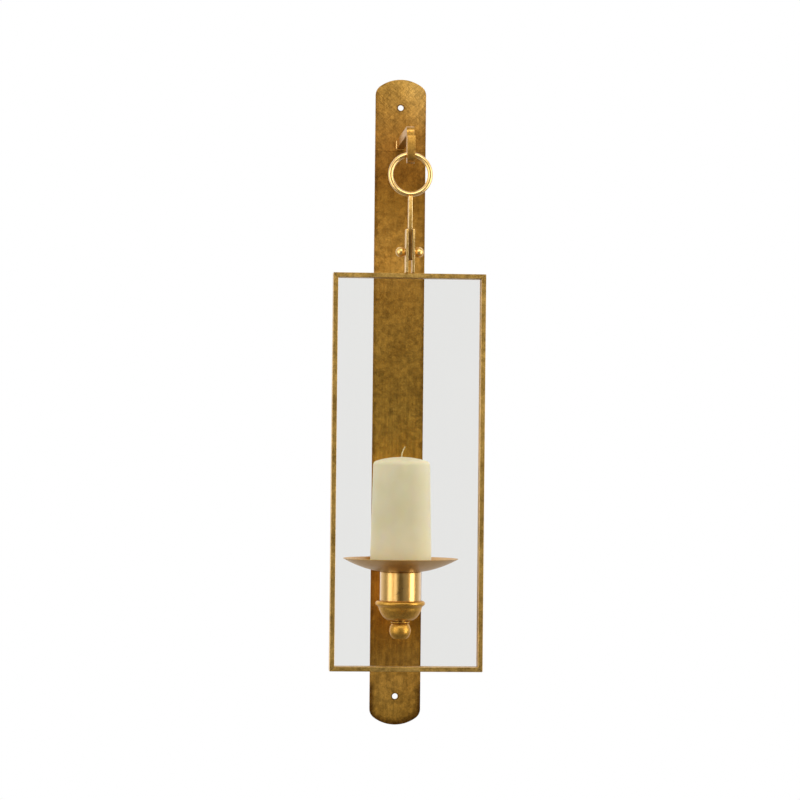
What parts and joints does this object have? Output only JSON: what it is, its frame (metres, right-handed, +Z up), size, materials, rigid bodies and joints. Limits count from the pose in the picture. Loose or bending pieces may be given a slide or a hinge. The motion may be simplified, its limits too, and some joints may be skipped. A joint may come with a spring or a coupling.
{
  "type": "wall sconce candle holder",
  "caption": "Gilded metal wall sconce: long backplate, hooked arm with a hanging framed glass screen, and a pillar candle on a drip dish, cup, bowl and ball finial.",
  "frame": {"origin": "centre of the backplate's rear face, where it lies on the wall", "axes": "+X to the right seen from the room, +Y into the wall, +Z up along the backplate"},
  "size_m": [0.165, 0.17, 0.73],
  "materials": {
    "gilded_strip": "aged gold leaf, brushed and mottled, lighter towards the top",
    "gilded_bar": "aged gold leaf with bright worn edges",
    "gilded_wire": "burnished gold leaf",
    "gilded_turning": "burnished gold leaf over turned metal, satin",
    "gilded_frame": "aged gold leaf, mottled olive and gold",
    "plain_steel": "plain zinc-plated steel",
    "clear_glass": "clear flat glass with a faint grey tint",
    "candle_wax": "smooth ivory wax, slightly translucent",
    "wick_cotton": "waxed cotton braid"
  },
  "bodies": {
    "wall_bracket": {"backplate": "gilded_strip", "hook_arm": "gilded_bar", "support_arm": "gilded_bar", "drip_dish": "gilded_turning", "candle_cup": "gilded_turning", "cup_bowl": "gilded_turning", "finial_collar": "gilded_turning", "finial_ball": "gilded_turning", "tie_rod": "plain_steel", "rod_nut": "plain_steel", "pricket": "gilded_turning"},
    "hanger": {"hanger_ring": "gilded_wire", "hanger_stem": "gilded_bar"},
    "glass_frame": {"clevis_ear_left": "gilded_bar", "clevis_ear_right": "gilded_bar", "clevis_pin": "plain_steel", "pin_knob_left": "gilded_turning", "pin_knob_right": "gilded_turning", "frame_top_rail": "gilded_frame", "frame_bottom_rail": "gilded_frame", "frame_left_stile": "gilded_frame", "frame_right_stile": "gilded_frame", "glass_pane": "clear_glass", "glazing_bead_top": "gilded_frame", "glazing_bead_bottom": "gilded_frame", "glazing_bead_left": "gilded_frame", "glazing_bead_right": "gilded_frame"},
    "candle_body": {"candle": "candle_wax", "wick": "wick_cotton"}
  },
  "joints": [
    {"name": "hanger_sway", "type": "hinge", "parent": "wall_bracket", "child": "hanger", "pos_m": [0, -0.159, 0.24275], "axis": [0, 1, 0], "range_deg": [-10, 10]},
    {"name": "screen_swing", "type": "hinge", "parent": "hanger", "child": "glass_frame", "pos_m": [0, -0.159, 0.1587], "axis": [-1, 0, 0], "range_deg": [-2, 75]},
    {"name": "candle_lift", "type": "slide", "parent": "wall_bracket", "child": "candle_body", "axis": [0, 0, 1], "range_m": [0, 0.12]}
  ]
}
